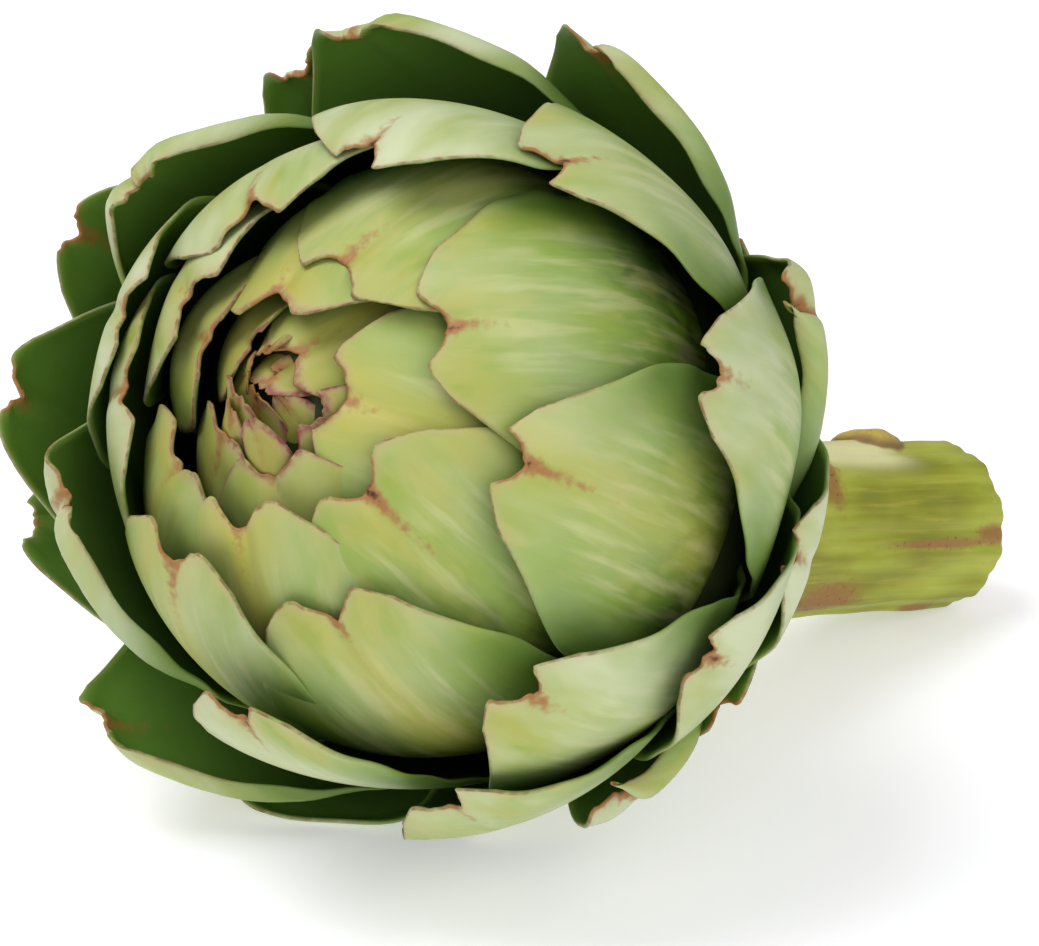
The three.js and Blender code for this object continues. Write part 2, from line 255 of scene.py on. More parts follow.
# %% [markdown]
# ## The rule of growth
#
# Each bract grows a golden angle, 137.5 degrees, round from the one before, so no two ever
# stand in one row. Young ones near the tip are small, narrow and tightly packed; older ones
# are broad and notched. On one side the outer bracts have sprung open. Few bracts on a real bud
# sit exactly where the rule puts them, so a list of strays holds what 52 of the 61 add to it.
# Many of its numbers weren't chosen by hand: a separate program solved for them from where the
# tips of one real bud lie, and they were then rounded and partly changed. The crowding
# and the tip distances began in a search of the same kind. A bud without the list would be as
# true to the rule, but too even.

# %% Growth
FIRST_BRACT, LAST_BRACT = -5, 55
GOLDEN_ANGLE = 137.508
FIRST_TURN = 274.4       # degrees round the head, of bract 0
CROWDING = 12.0          # degrees that bracts lean towards the crowded side
CROWDED_SIDE = 330.0
CROWDING_SHIFT = 7.0
BRACT_WIDTH = 50.0
BRACT_LENGTH = 64.0
SPLAYED_SIDE = 262.0
SPLAY = 15.0             # mm that the tips there stand off the barrel

# Bract numbers between which a habit comes in or fades out.
SLANT_FADES = (2, 12)
LIFT_GROWS = (8, 22)
SLIMMING = (12, 23)
DRAWN_IN_FADES = (22, 29)
LOOSENING, TIGHTENING = (24, 30), (42, 47)
SPLAY_FADES = (38, 50)
SPLAYED_STAND = (10, 16)  # mm off the barrel between which a bract takes the open shape

# Distance of a bract's tip from the head's tip, along the barrel: [bract, mm].
TIP_DISTANCES = (
    (-5, 0.3), (0, 1.3), (3, 2.9), (6, 6), (10, 13), (15, 22), (20, 32), (25, 46),
    (30, 66), (35, 83), (40, 95), (45, 105), (50, 114), (56, 124),
)

# Strays. turn: degrees round the head. slide: mm towards the stem. stand: mm off the barrel.
# nod: mm that the tip bends back in. roll: degrees that the margins curl inwards, on the
# anticlockwise side, at the tip and on the clockwise side.
# widening: how fast it widens from the tip. width: half its width in mm.
STRAYS = {
    -5: dict(turn=-84, slide=8), -4: dict(turn=18, slide=4), -3: dict(turn=-2, slide=3, stand=1.5, nod=1.5),
    -2: dict(slide=7), -1: dict(turn=-3, slide=-1), 0: dict(turn=-22, slide=2, stand=2, nod=2),
    1: dict(turn=35, slide=2), 2: dict(turn=13, slide=-5), 3: dict(turn=-26, slide=2, stand=2, nod=1.5),
    4: dict(turn=14, slide=6), 5: dict(turn=-15, slide=1.5, stand=3, nod=4),
    6: dict(turn=20, slide=6, stand=3, nod=3),
    7: dict(turn=-9, slide=-6),
    8: dict(turn=15, slide=4.5, stand=6, nod=7), 9: dict(turn=24, slide=2),
    10: dict(turn=8, slide=-4, stand=4, nod=2), 11: dict(slide=5, stand=4, nod=4, width=15),
    12: dict(turn=15, slide=-6), 13: dict(turn=2, slide=1, stand=10, nod=8), 14: dict(turn=1, stand=3, nod=1),
    15: dict(slide=-5), 16: dict(turn=8, slide=3, stand=9, nod=6), 17: dict(turn=7, slide=-3, stand=2),
    18: dict(turn=4, slide=-4, stand=10, nod=7, widening=1.1),
    19: dict(turn=-7, slide=-1, stand=6, nod=2), 20: dict(turn=6, slide=-5, stand=2, nod=1),
    21: dict(turn=2, slide=-4, stand=11, nod=6), 22: dict(slide=-1, stand=3, nod=2),
    23: dict(turn=8, slide=-6, stand=12, nod=7, widening=1.2),
    24: dict(slide=-4, stand=14, roll=(110, 60, 20)), 25: dict(turn=2, slide=-3, stand=3, nod=2),
    26: dict(turn=-2, slide=-6, stand=16, roll=(80, 90, 110)),
    27: dict(turn=-10, slide=-5, stand=9, nod=2, width=19),
    28: dict(turn=1, slide=-6, stand=6, nod=3.5), 29: dict(turn=1, slide=-8, stand=20, roll=(20, 60, 30)),
    30: dict(turn=-3, slide=-3, stand=7, nod=4), 31: dict(turn=2, slide=-4, stand=16, roll=(20, 90, 100)),
    32: dict(stand=18, roll=(100, 60, 20)), 33: dict(turn=3, slide=-7, stand=7, nod=4),
    34: dict(slide=-19, stand=20, roll=(20, 30, 20)), 35: dict(turn=-15, slide=-11, stand=11, nod=6),
    36: dict(turn=-2, slide=-6, stand=12, roll=(10, 30, 115), width=24),
    37: dict(turn=4, slide=-14, stand=22, roll=(40, 40, 20), width=21),
    38: dict(turn=3, slide=-4, stand=5.6, nod=3), 39: dict(turn=7, slide=-20, stand=18, roll=(30, 90, 60)),
    40: dict(turn=10, slide=-3, stand=15, nod=2, roll=(40, 60, 20)),
    41: dict(turn=7, slide=-2.5, stand=4.5, roll=(40, 60, 120)),
    43: dict(turn=-5, slide=-2, stand=7, nod=2, roll=(120, 50, 10), width=16),
    46: dict(turn=7, slide=-5, stand=5, nod=6), 48: dict(stand=4), 49: dict(stand=-2),
    54: dict(slide=6, stand=-2),
}


def chance(n, k):
    """A repeatable draw between 0 and 1: number k of bract n."""
    return (math.sin(n * 12.9898 + k * 78.233) * 43758.5453) % 1.0


def blend(low, high, share):
    """The value that lies `share` of the way from low to high."""
    return low + (high - low) * share


def bract(n):
    """Everything that sets bract n's place and shape."""
    stray = STRAYS.get(n, {})
    age = max(n, 0)
    rule = FIRST_TURN - GOLDEN_ANGLE * n
    turn = rule + CROWDING_SHIFT - CROWDING * math.cos(math.radians(rule - CROWDED_SIDE))
    side = 0.5 + 0.5 * math.cos(math.radians(turn - SPLAYED_SIDE))
    opening = SPLAY * min(max((n - 2) / 25, 0), 1) * side ** 3 * (1 - 0.75 * smooth(*SPLAY_FADES, n))
    loose = 1.6 * smooth(*LOOSENING, n) * (1 - smooth(*TIGHTENING, n))
    stand = stray.get("stand", 0.8 + loose + opening)
    splayed = smooth(*SPLAYED_STAND, stand)
    old = max(0, n - 44) / 12
    width = stray.get("width", min(BRACT_WIDTH / 2, 6 + 1.3 * age) * (1 - 0.35 * old))
    tip_width = min(10, 2.6 + 0.75 * age) - 3 * smooth(20, 26, n) - 2 * smooth(33, 41, n)
    return SimpleNamespace(
        n=n,
        stray_turn=stray.get("turn", 0),
        tip=np.interp(n, *zip(*TIP_DISTANCES)) + stray.get("slide", 0),
        stand=stand,
        nod=stray.get("nod", 0),
        roll=[math.radians(side) for side in stray.get("roll", (0, 0, 0))],
        splayed=splayed,
        inset=4 * (1 - smooth(*DRAWN_IN_FADES, n)) * (1 - side),
        slant=0.13 + 0.42 * (1 - smooth(*SLANT_FADES, n)),
        thickness=0.5 + 0.5 * smooth(0, 12, n),
        lift_share=0.35 + 0.4 * smooth(*LIFT_GROWS, n),
        width=blend(width, 1.05 * width, splayed),
        tip_width=blend(tip_width, 6, splayed),
        widening=stray.get("widening", blend(1.15 - 0.4 * smooth(*SLIMMING, n), 1.1, splayed)),
        length=min(BRACT_LENGTH, 12 + 2.9 * age) * (1 - 0.4 * old) * blend(1, 1.2, splayed),
        cup=min(52, 7 + 2.1 * age),
        notch=blend(min(5.2, 1.4 + 0.3 * age), 1.4, splayed),
        shoulder=min(5, 1.5 + 0.6 * age) - 1.5 * smooth(10, 22, n),
        spine=2.0 * chance(n, 10) ** 2,
        notch_shift=0.24 * chance(n, 1) - 0.12,
        lobe_slope=1.6 * chance(n, 2) - 0.8,
        curl=0.9 * chance(n, 3) - 0.5,
        wave=chance(n, 4) - 0.5,
        wave_phase=6 * chance(n, 5),
    )


BRACTS = [bract(n) for n in range(FIRST_BRACT, LAST_BRACT + 1)]
print("bracts:", len(BRACTS), "splayed:", sum(b.splayed > 0.5 for b in BRACTS))

# %% [markdown]
# ## One bract
#
# A bract is a thick leathery blade: cupped across, bent along the barrel, with two rounded
# lobes and a notch where its spine was. It is drawn as a net of points. Each point has a place
# in millimetres on the flat blade, `across` its midrib and `back` from its tip, and one
# function bends that flat blade onto the bud. All blades are made at the same side of an
# upright bud; turning them round it comes later, and the tree below does it.

# %% Bending a flat blade onto the bud
ROOT_DIVE = 2.0          # how much deeper a root runs than the rest of its blade
NOD_REACH = 18.0         # mm of the blade that a nodding tip takes


def bent(b, across, back, lift):
    """Points of blade b on the upright bud, facing +Y, `lift` mm off its outer skin."""
    height, radius, down = barrel_at(b.tip + back)
    raised = b.length * b.lift_share
    fade = np.clip(1 - back / raised, 0, 1)
    nodding = np.clip(1 - back / NOD_REACH, 0, 1)
    off = b.stand * fade ** 1.8 - b.nod * nodding ** 2 - b.slant * back - b.inset
    off -= ROOT_DIVE * smooth(0.6, 1, back / b.length)
    lean = 1.8 * b.stand * fade ** 0.8 / raised - 2 * b.nod * nodding / NOD_REACH + b.slant
    nothing = np.zeros_like(height)
    normal = np.stack([nothing, -down[0], down[1]], -1)
    downward = np.stack([nothing, down[1], down[0]], -1)
    tilted = normal + lean[..., None] * downward
    tilted /= np.linalg.norm(tilted, axis=-1, keepdims=True)
    bend = (across / b.cup)[..., None]
    sideways = np.array([1.0, 0.0, 0.0])
    face = tilted * np.cos(bend) + sideways * np.sin(bend)
    return (np.stack([nothing, radius, height], -1) + normal * off[..., None]
            + sideways * b.cup * np.sin(bend)
            - tilted * b.cup * (1 - np.cos(bend))
            + face * lift[..., None])


# %% Outline and relief of the blade
EDGE_THICKNESS = 0.6
MIDDLE_THICKNESS = 1.7
EDGE_SOFTNESS = 2.5      # mm over which a blade reaches its full width
LOBE_SHARE = 0.6         # where the two lobes reach furthest, as a share of the tip's half width


def half_width(b, back):
    """Half the blade's width: two lobes that widen with distance from the tip."""
    straight = b.tip_width + b.widening * back
    return straight - EDGE_SOFTNESS * np.log1p(np.exp((straight - b.width) / EDGE_SOFTNESS))


def ragged(b, share):
    """Small teeth along the tip, mostly dried and torn bits beside the notch."""
    teeth = sum(np.sin(share * (9 + 7 * k) + 6 * chance(b.n, 20 + k)) / (1 + k) for k in range(5))
    return 0.3 * teeth * np.exp(-np.abs(share) / 0.7)


def relief(b, across, back, share, rim):
    """How far the outer skin rises off the smooth cupped blade."""
    curl = b.curl * np.clip(1 - back / 7, 0, 1) ** 2 * (0.3 + 0.7 * share ** 2)
    wave = b.wave * np.sin(0.16 * across + 0.05 * back + b.wave_phase)
    furrow = -min(1.2, 0.4 + 0.05 * max(b.n, 0)) * np.exp(-(across / 1.8) ** 2 - (back / 11) ** 2)
    pucker = 0.25 * np.sin(0.55 * back + 6 * chance(b.n, 6)) * np.exp(-rim / 3) * np.sign(share)
    return curl * (1 - b.splayed) + wave + furrow + pucker


ROLL_REACH = 6.0         # mm of the blade that a rolled margin takes


def rolled(rim, angle):
    """How far a margin rolled inwards is drawn back and drops, `rim` mm from the edge."""
    share = np.clip(1 - rim / ROLL_REACH, 0, 1)
    safe = np.maximum(angle, 0.01)
    radius = ROLL_REACH / safe
    return ROLL_REACH * share - radius * np.sin(safe * share), radius * (1 - np.cos(safe * share))


# %% The net of one blade
COLUMNS, ROWS = 39, 37


def blade_net(b):
    """Outer and inner skin of blade b as nets of points, with what each point needs to be painted."""
    column = np.linspace(-1, 1, COLUMNS)
    share, row = np.meshgrid(np.sign(column) * np.abs(column) ** 1.25, np.linspace(0, 1, ROWS) ** 1.4)
    middle = share - b.notch_shift * (1 - row)
    fork = b.notch * np.clip(1 - np.abs(middle) / LOBE_SHARE, 0, 1) ** 1.2
    shoulder = b.shoulder * np.clip((np.abs(share) - LOBE_SHARE) / (1 - LOBE_SHARE), 0, 1) ** 2
    spine = -b.spine * np.exp(-(middle * b.tip_width / 0.8) ** 2)
    tip_shape = fork + shoulder + spine + b.lobe_slope * share + ragged(b, middle)
    back = row * b.length + tip_shape * (1 - row) ** 3
    width = half_width(b, back)
    across = share * width
    rim = np.minimum((1 - np.abs(share)) * width, row * b.length)
    lift = relief(b, across, back, share, rim)
    thickness = b.thickness * blend(EDGE_THICKNESS, MIDDLE_THICKNESS, 1 - np.exp(-rim / 4))

    left, tip, right = b.roll
    fading = 1 - smooth(12, 45, back)
    drawn, drop = rolled((1 - np.abs(share)) * width, np.where(share < 0, left, right) * fading)
    tip_drawn, tip_drop = rolled(row * b.length, tip * (1 - smooth(0.5, 1, np.abs(share))))
    outer = bent(b, across - np.sign(share) * drawn, back + tip_drawn, lift - drop - tip_drop)
    facing = np.cross(np.gradient(outer, axis=1), np.gradient(outer, axis=0))
    facing /= np.linalg.norm(facing, axis=-1, keepdims=True)
    inner = outer - facing * thickness[..., None]
    paint = dict(across=middle * width, back=back, rim=rim,
                 from_notch=np.hypot(middle * width, np.maximum(back - b.notch, 0)))
    return outer, inner, thickness, paint


def edge_loop(rows, columns):
    """Row and column of every point round the edge of a net, in order."""
    top = [(0, c) for c in range(columns - 1)]
    right = [(r, columns - 1) for r in range(rows - 1)]
    bottom = [(rows - 1, c) for c in range(columns - 1, 0, -1)]
    left = [(r, 0) for r in range(rows - 1, 0, -1)]
    return np.array(top + right + bottom + left)


def blade_mesh(b):
    """A closed mesh of blade b: two skins joined by a rounded edge."""
    outer, inner, thickness, paint = blade_net(b)
    loop = edge_loop(ROWS, COLUMNS)
    r, c = loop.T
    centre = (outer + inner) / 2
    inside = centre[np.clip(r, 1, ROWS - 2), np.clip(c, 1, COLUMNS - 2)]
    outwards = centre[r, c] - inside
    outwards /= np.linalg.norm(outwards, axis=-1, keepdims=True)
    edge = centre[r, c] + outwards * 0.45 * thickness[r, c][:, None]
    count = ROWS * COLUMNS
    number = np.arange(count).reshape(ROWS, COLUMNS)
    a, b1, c1, d1 = (number[:-1, :-1], number[:-1, 1:], number[1:, 1:], number[1:, :-1])
    skin = np.stack([a, b1, c1, d1], -1).reshape(-1, 4)
    here = number[r, c]
    there = np.roll(here, -1)
    rim_here = 2 * count + np.arange(len(loop))
    rim_there = np.roll(rim_here, -1)
    faces = np.concatenate([
        skin, skin[:, ::-1] + count,
        np.stack([there, here, rim_here, rim_there], -1),
        np.stack([rim_there, rim_here, here + count, there + count], -1),
    ])
    mesh = bpy.data.meshes.new(f"blade_{b.n - FIRST_BRACT:02d}")
    points = np.concatenate([outer.reshape(-1, 3), inner.reshape(-1, 3), edge])
    mesh.from_pydata((points * MM).tolist(), [], faces.tolist(), shade_flat=False)
    return mesh, {name: np.concatenate([v.ravel(), v.ravel(), v[r, c]]) for name, v in paint.items()}


# %% [markdown]
# ## What the paint needs to know
#
# Patterns on a leaf follow the leaf, not the room: fibres run from root to tip, the dried
# brown starts at the notch, the colour deepens towards the root, partly the leaf's own green and
# partly painted shade under the bracts that overlap it. So each point carries its own place on
# the flat blade and a few masks as attributes, and the material reads those.

# %% Marks on a blade
def mark(b, mesh, paint):
    """Stores a blade's own coordinates and masks on its points."""
    points = len(mesh.vertices)
    skin = ROWS * COLUMNS
    outer = np.full(points, 0.6)
    outer[:skin] = 1.0
    outer[skin:2 * skin] = 0.0
    reach = blend(5, 14, chance(b.n, 7))
    streak = np.exp(-(paint["across"] / 1.6) ** 2) * np.exp(-np.maximum(paint["back"] - b.notch, 0) / reach)
    spot = np.exp(-(paint["from_notch"] / 1.8) ** 2)
    singed = 0.9 * np.exp(-(paint["from_notch"] / 6) ** 2 - paint["rim"] / 0.8)
    burnt = blend(0.5, 1.0, chance(b.n, 8)) * np.maximum(np.maximum(0.9 * streak, spot), singed)
    # Outer bracts, and those that stand off the bud, have weathered to a thicker wax.
    weathered = max(smooth(26, 32, b.n), smooth(5, 10, b.stand))
    midrib = np.exp(-(paint["across"] / (3 + 0.1 * paint["back"])) ** 2)
    midrib = np.maximum(midrib, np.exp(-(paint["from_notch"] / 8) ** 2))
    masks = {
        "outer": outer,
        "rim_mm": paint["rim"],
        "burnt": burnt,
        "midrib": midrib,
        "young": np.full(points, 1 - smooth(2, 16, b.n)),
        "waxy": np.full(points, 0.26 + 0.24 * smooth(6, 24, b.n) + 0.5 * weathered),
        "tone": np.full(points, chance(b.n, 9)),
    }
    for name, values in masks.items():
        mesh.attributes.new(name, "FLOAT", "POINT").data.foreach_set("value", values.astype(np.float32))
    place = np.stack([paint["across"], paint["back"], np.full(points, 31.0 * b.n)], -1)
    mesh.attributes.new("blade_mm", "FLOAT_VECTOR", "POINT").data.foreach_set(
        "vector", place.astype(np.float32).ravel())
    return mesh


# %% [markdown]
# ## The skin of a bract
#
# The outer skin is a waxy leaf cuticle: a grey bloom over green near the tip, cream streaks
# down the middle, a yellow flush at the midrib, and clear dark green along both sides and
# towards the root, partly the bract's own green and partly painted shade where the bracts
# overlap. The wax has rubbed off in patches. Young bracts have pink rims. The notch, where the
# spine dried, is brown. The inner skin is smooth and dark green. All of it is noise laid in the
# blade's own millimetres, so it follows the blade however that is bent.

# %% Skin material
SKIN_REACH = 64.0        # mm of blade that the colours below run over
# Darker towards the root: partly the bract's own deeper green, partly painted shade under the bracts that
# overlap it.
SKIN_COLOURS = ((0, "#9da24b"), (8, "#93a145"), (18, "#849b3a"), (28, "#779231"), (40, "#5e7e27"),
                (56, "#2f4a16"))
INNER_COLOURS = ((0, "#5e842f"), (14, "#4c6e25"), (30, "#35501c"), (50, "#1f3310"))
SKIN_MARKS = ("outer", "rim_mm", "burnt", "midrib", "waxy", "young", "tone")


def ramped(tree, value, stops, reach):
    """A colour that changes with a value, through (value, hex colour) stops from 0 to reach."""
    share = add(tree, "ShaderNodeMath", {0: value, 1: 1 / reach}, operation="MULTIPLY")
    ramp = tree.nodes.new("ShaderNodeValToRGB")
    tree.links.new(share, ramp.inputs[0])
    while len(ramp.color_ramp.elements) < len(stops):
        ramp.color_ramp.elements.new(0.5)
    for element, (at, text) in zip(ramp.color_ramp.elements, stops):
        element.position = at / reach
        element.color = colour(text)
    return ramp.outputs[0]


def layered(tree, skin, layers):
    """Colours laid over one another, each by its own amount."""
    for amount, text in layers:
        skin = add(tree, "ShaderNodeMix", {MIX_FACTOR: amount, MIX_A: skin, MIX_B: colour(text)},
                   out=MIX_COLOUR, data_type="RGBA")
    return skin


def bract_skin():
    """Waxy leaf cuticle: satin, with fibres along the blade that catch a soft light."""
    material, tree = new_material("waxy_bract_cuticle")
    place = add(tree, "ShaderNodeAttribute", out="Vector", attribute_name="blade_mm")
    outer, rim, burnt, midrib, waxy, young, tone = (
        add(tree, "ShaderNodeAttribute", out="Fac", attribute_name=name) for name in SKIN_MARKS)
    back = add(tree, "ShaderNodeSeparateXYZ", {"Vector": place}, out="Y")

    # Patches 12 mm and blotches 7 mm across, streaks 2.5 mm and fibres 0.9 mm apart, all drawn
    # out along the blade, and round specks of 1.4 mm.
    long_way = add(tree, "ShaderNodeMapping", {"Vector": place, "Scale": (1, 0.45, 1)})
    streak_way = add(tree, "ShaderNodeMapping", {"Vector": place, "Scale": (1, 0.12, 1)})
    patches, blotches, streaks, fibres, specks = (
        add(tree, "ShaderNodeTexNoise", {"Vector": way, "Scale": 1 / size, "Detail": detail})
        for way, size, detail in (
            (long_way, 12, 3.0), (long_way, 7, 3.0), (streak_way, 2.5, 3.0), (streak_way, 0.9, 2.0),
            (place, 1.4, 4.0)))

    # How far down the blade the colour has got, in mm, blurred by the patches and the streaks.
    depth = add(tree, "ShaderNodeMath", {0: patches, 1: 44.0, 2: back}, operation="MULTIPLY_ADD")
    depth = add(tree, "ShaderNodeMath", {0: streaks, 1: 30.0, 2: depth}, operation="MULTIPLY_ADD")
    depth = add(tree, "ShaderNodeMath", {0: depth, 1: 36.0}, operation="SUBTRACT")

    # Soft masks, each read off one value: what it reads, where it starts, where it is full and
    # how strong it gets. `clear` is patches of fresh green and `sunned` of yellowed skin, both
    # under the wax, which is `near` the tip. Pale streaks keep to the middle of the blade.
    scorch = add(tree, "ShaderNodeMath", {0: specks, 1: burnt}, operation="ADD")
    soft = SimpleNamespace(**{
        name: add(tree, "ShaderNodeMapRange", {"Value": value, "From Min": start, "From Max": full,
                                               "To Max": most}, interpolation_type="SMOOTHSTEP")
        for name, value, start, full, most in (
            ("near", back, 54.0, 8.0, 1.0), ("behind", back, 9.0, 26.0, 1.0),
            ("clear", blotches, 0.5, 0.62, 0.65), ("sunned", blotches, 0.46, 0.34, 0.5),
            ("side", rim, 13.0, 1.0, 0.74), ("middle", rim, 3.0, 14.0, 1.0),
            ("pale", streaks, 0.42, 0.66, 0.5), ("blush", rim, 2.4, 0.3, 1.0),
            ("line", rim, 0.5, 0.05, 0.8), ("pink", rim, 1.7, 0.2, 1.0),
            ("light_rim", rim, 1.6, 0.2, 1.0), ("brown", scorch, 0.75, 1.3, 1.0),
            ("black", scorch, 1.3, 1.6, 1.0))})

    # Plain ones: how thick the wax lies, where the specks break a rim, and how near the tip a
    # point is; a young bract is painted as if it were all tip.
    thick = add(tree, "ShaderNodeMapRange", {"Value": patches, "From Min": 0.32, "From Max": 0.65,
                                             "To Min": 0.05, "To Max": 0.85})
    broken = add(tree, "ShaderNodeMapRange", {"Value": specks, "From Min": 0.38, "From Max": 0.6,
                                              "To Min": 0.2})
    fewer = add(tree, "ShaderNodeMapRange", {"Value": young, "To Min": 0.55, "To Max": 1.2})
    tipward = add(tree, "ShaderNodeMapRange", {"Value": back, "From Min": 16.0, "From Max": 3.0,
                                               "To Min": 0.05})
    tipward = add(tree, "ShaderNodeMath", {0: tipward, 1: young}, operation="MAXIMUM")
    bare = add(tree, "ShaderNodeMath", {0: 1.0, 1: waxy}, operation="SUBTRACT")
    youngest = add(tree, "ShaderNodeMath", {0: young, 1: 2.0}, operation="POWER")

    # Colours laid over the green, from the lowest up: each is as strong as its factors together.
    layers = []
    for text, first, *others in (
            ("#7b9a2f", soft.clear),
            ("#b9af5c", soft.sunned, bare),
            ("#c1c284", soft.pale, soft.middle),
            ("#c3c9a6", soft.near, thick, waxy),
            # Painted shade: dark green along the margins and behind the tip, partly the bract's own green and
            # partly the shade that neighbouring bracts cast there.
            ("#527322", soft.side, soft.behind),
            ("#bbae48", midrib, tone, bare),
            ("#93893a", youngest, 0.6),
            ("#b99a7c", soft.blush, specks, tipward, fewer),
            ("#744035", soft.line, broken, tipward),
            ("#7c2c38", soft.pink, young, broken),
            ("#9c6e3e", soft.brown),
            ("#451f12", soft.black)):
        amount = first
        for factor in others:
            amount = add(tree, "ShaderNodeMath", {0: amount, 1: factor}, operation="MULTIPLY")
        layers.append((amount, text))
    skin = layered(tree, ramped(tree, depth, SKIN_COLOURS, SKIN_REACH), layers)

    # The inner skin: dark green, darkest at the root, with a thin light line at the rim.
    inner = layered(tree, ramped(tree, back, INNER_COLOURS, SKIN_REACH), (
        (soft.light_rim, "#6c8638"), (soft.brown, "#8f6a34")))
    skin = add(tree, "ShaderNodeMix", {MIX_FACTOR: outer, MIX_A: inner, MIX_B: skin},
               out=MIX_COLOUR, data_type="RGBA")

    bump = add(tree, "ShaderNodeBump", {"Height": fibres, "Strength": 0.5, "Distance": 0.12 * MM})
    shader = add(tree, "ShaderNodeBsdfPrincipled", {
        "Base Color": skin, "Roughness": 0.5, "IOR": 1.45, "Normal": bump,
        "Specular IOR Level": 0.35,
    })
    add(tree, "ShaderNodeOutputMaterial", {"Surface": shader})
    return material


SKIN = bract_skin()
print("nodes in the skin of a bract:", len(SKIN.node_tree.nodes))

# %% [markdown]
# ## The spiral, as a tree of Geometry Nodes
#
# The blades could be turned one by one in code, but the golden angle is a rule, and a tree
# keeps it as a number that can be changed by hand. Its points are the bracts' numbers. On each
# point it sets the blade of that number, turned by the rule plus that bract's stray, and then
# it tilts the whole head and carries it to its place.

# %% The spiral tree
NUMBER = "NodeSocketFloat"


def tree_with(name, inputs):
    """A new Geometry Nodes tree with a mesh in, a mesh out and these named inputs."""
    tree = bpy.data.node_groups.new(name, "GeometryNodeTree")
    tree.interface.new_socket("Geometry", in_out="INPUT", socket_type="NodeSocketGeometry")
    for title, kind in inputs:
        tree.interface.new_socket(title, in_out="INPUT", socket_type=kind)
    tree.interface.new_socket("Geometry", in_out="OUTPUT", socket_type="NodeSocketGeometry")
    given = tree.nodes.new("NodeGroupInput").outputs
    return tree, given


def spiral_tree():
    """Sets numbered blades round an upright bud by the golden angle, then tilts the bud."""
    tree, given = tree_with("bract_spiral", [
        ("Blades", "NodeSocketCollection"), ("Golden Angle", NUMBER), ("First Turn", NUMBER),
        ("Crowding", NUMBER), ("Crowded Side", NUMBER), ("Crowding Shift", NUMBER),
        ("Tilt", NUMBER), ("Base", "NodeSocketVector"), ("Skin", "NodeSocketMaterial"),
    ])

    number, stray_turn = (
        add(tree, "GeometryNodeInputNamedAttribute", {"Name": name}, data_type="FLOAT")
        for name in ("number", "stray_turn"))
    blades = add(tree, "GeometryNodeCollectionInfo",
                 {"Collection": given["Blades"], "Separate Children": True})
    grown = add(tree, "ShaderNodeMath", {0: number, 1: given["Golden Angle"]}, operation="MULTIPLY")
    rule = add(tree, "ShaderNodeMath", {0: given["First Turn"], 1: grown}, operation="SUBTRACT")
    side = add(tree, "ShaderNodeMath", {0: rule, 1: given["Crowded Side"]}, operation="SUBTRACT")
    side = add(tree, "ShaderNodeMath", {0: side}, operation="RADIANS")
    crowd = add(tree, "ShaderNodeMath", {0: side}, operation="COSINE")
    crowd = add(tree, "ShaderNodeMath", {0: crowd, 1: given["Crowding"]}, operation="MULTIPLY")
    turn = add(tree, "ShaderNodeMath", {0: rule, 1: given["Crowding Shift"]}, operation="ADD")
    turn = add(tree, "ShaderNodeMath", {0: turn, 1: crowd}, operation="SUBTRACT")
    turn = add(tree, "ShaderNodeMath", {0: turn, 1: stray_turn}, operation="ADD")
    turn = add(tree, "ShaderNodeMath", {0: turn}, operation="RADIANS")
    turn = add(tree, "ShaderNodeMath", {0: turn, 1: -1.0}, operation="MULTIPLY")
    about = add(tree, "ShaderNodeCombineXYZ", {"Z": turn})
    placed = add(tree, "GeometryNodeInstanceOnPoints", {
        "Points": given["Geometry"], "Instance": blades, "Pick Instance": True,
        "Instance Index": add(tree, "GeometryNodeInputIndex"), "Rotation": about,
    })
    joined = add(tree, "GeometryNodeRealizeInstances", {"Geometry": placed})
    lean = add(tree, "ShaderNodeMath", {0: 90.0, 1: given["Tilt"]}, operation="SUBTRACT")
    lean = add(tree, "ShaderNodeMath", {0: lean}, operation="RADIANS")
    tilted = add(tree, "GeometryNodeTransform", {
        "Geometry": joined, "Translation": given["Base"],
        "Rotation": add(tree, "ShaderNodeCombineXYZ", {"X": lean}),
    })
    painted = add(tree, "GeometryNodeSetMaterial", {"Geometry": tilted, "Material": given["Skin"]})
    tree.nodes.new("NodeGroupOutput")
    tree.links.new(painted, tree.nodes["Group Output"].inputs["Geometry"])
    return tree


def hang(obj, tree, values):
    """Puts the tree on the object and sets its named inputs by their identifiers."""
    modifier = obj.modifiers.new(tree.name, "NODES")
    modifier.node_group = tree
    for item in tree.interface.items_tree:
        if item.in_out == "INPUT" and item.name in values:
            modifier[item.identifier] = values[item.name]


def set_plain(obj):
    """Turns what the object's modifiers make into its own plain mesh."""
    graph = bpy.context.evaluated_depsgraph_get()
    made = bpy.data.meshes.new_from_object(
        obj.evaluated_get(graph), preserve_all_data_layers=True, depsgraph=graph)
    obj.modifiers.clear()
    obj.data = made
    return obj


SPIRAL = spiral_tree()
print("nodes in the spiral:", len(SPIRAL.nodes))

# %% [markdown]
# ## Resting on the table
#
# The lowest bracts give a little under the weight of the head. Heights under 14 mm are squeezed
# upwards by a formula that keeps their order, so the squeeze makes no bract cross another, and
# what would still be under the table is laid flat on it.

# %% Pressing
PRESS_HEIGHT = 14.0
PRESS_DEPTH = 0.5


def pressed(mesh):
    """Squeezes the lowest part of a mesh upwards and lays it flat on the table."""
    points = np.empty(len(mesh.vertices) * 3, np.float32)
    mesh.vertices.foreach_get("co", points)
    height = points[2::3] / MM
    full = 1 + PRESS_DEPTH / PRESS_HEIGHT
    lift = PRESS_DEPTH * (np.maximum(1 - height / PRESS_HEIGHT, 0) / full) ** 2
    points[2::3] = np.maximum(height + lift, 0) * MM
    mesh.vertices.foreach_set("co", points)
    mesh.update()


def triangles(obj):
    """How many triangles a piece has."""
    obj.data.calc_loop_triangles()
    return len(obj.data.loop_triangles)


# %% The bracts, in four pieces from the tip outwards
GROUPS = (("rosette_bracts", -5, 9), ("inner_bracts", 10, 23),
          ("open_bracts", 24, 39), ("base_bracts", 40, 55))


